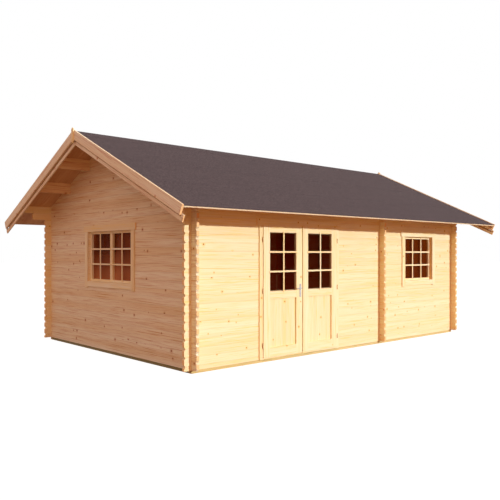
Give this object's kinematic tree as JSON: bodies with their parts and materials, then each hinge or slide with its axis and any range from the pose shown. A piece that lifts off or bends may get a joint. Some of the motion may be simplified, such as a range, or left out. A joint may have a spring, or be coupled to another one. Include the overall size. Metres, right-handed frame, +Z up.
{
  "type": "log cabin",
  "caption": "Small log cabin of interlocking machined logs, with a glazed double door, barred windows, a partition room and a felted gable roof.",
  "frame": {"origin": "centre of the outline on the ground, under the ground beams", "axes": "+X along the ridge towards the small room, +Z up; the double door faces -Y"},
  "size_m": [8.038, 5.8518, 3.6339],
  "materials": {
    "timber": "oiled softwood, satin",
    "treated_timber": "pressure-treated softwood, matt",
    "roofing_felt": "mineral-faced bitumen felt, matt",
    "glass": "clear",
    "steel": "satin"
  },
  "bodies": {
    "cabin": {"back_step_log": "timber", "back_wall": "timber", "back_wall_plate": "timber", "bargeboards_back": "timber", "bargeboards_front": "timber", "door_casings": "timber", "door_head": "timber", "door_header": "timber", "door_jambs": "timber", "door_sill": "timber", "finials": "timber", "floor_boards": "timber", "floor_joists": "treated_timber", "frame_hinges": "steel", "front_step_log": "timber", "front_wall_left": "timber", "front_wall_middle": "timber", "front_wall_over_door": "timber", "front_wall_over_window": "timber", "front_wall_plate": "timber", "front_wall_right": "timber", "front_wall_under_window": "timber", "ground_beams_cross": "treated_timber", "ground_beams_long": "treated_timber", "inner_bargeboards_back": "timber", "inner_bargeboards_front": "timber", "left_gable_sides": "timber", "left_gable_top": "timber", "left_gable_under_window": "timber", "partition_sides": "timber", "partition_top": "timber", "purlins": "timber", "right_gable": "timber", "roof_boards_back": "timber", "roof_boards_front": "timber", "roof_felt": "roofing_felt", "window_casings": "timber", "window_frames": "timber", "window_glass": "glass", "window_sashes": "timber"},
    "left_door": {"left_door_frame": "timber", "left_door_glass": "glass", "left_door_handle_plates": "steel", "left_door_hinges": "steel", "left_door_panel": "timber"},
    "right_door": {"right_door_frame": "timber", "right_door_glass": "glass", "right_door_hinges": "steel", "right_door_panel": "timber"},
    "door_lever": {"left_door_lever": "steel"}
  },
  "joints": [
    {"name": "left_door_hinge", "type": "hinge", "parent": "cabin", "child": "left_door", "pos_m": [-2.0515, -2.301, 1.098], "axis": [0, 0, -1], "range_deg": [0, 170]},
    {"name": "right_door_hinge", "type": "hinge", "parent": "cabin", "child": "right_door", "pos_m": [-0.3305, -2.301, 1.098], "axis": [0, 0, 1], "range_deg": [0, 170]},
    {"name": "door_lever_turn", "type": "hinge", "parent": "left_door", "child": "door_lever", "pos_m": [-1.2395, -2.278, 1.098], "axis": [0, -1, 0], "range_deg": [0, 40], "stiffness_Nm_per_rad": 1, "springref_deg": -28.65}
  ]
}
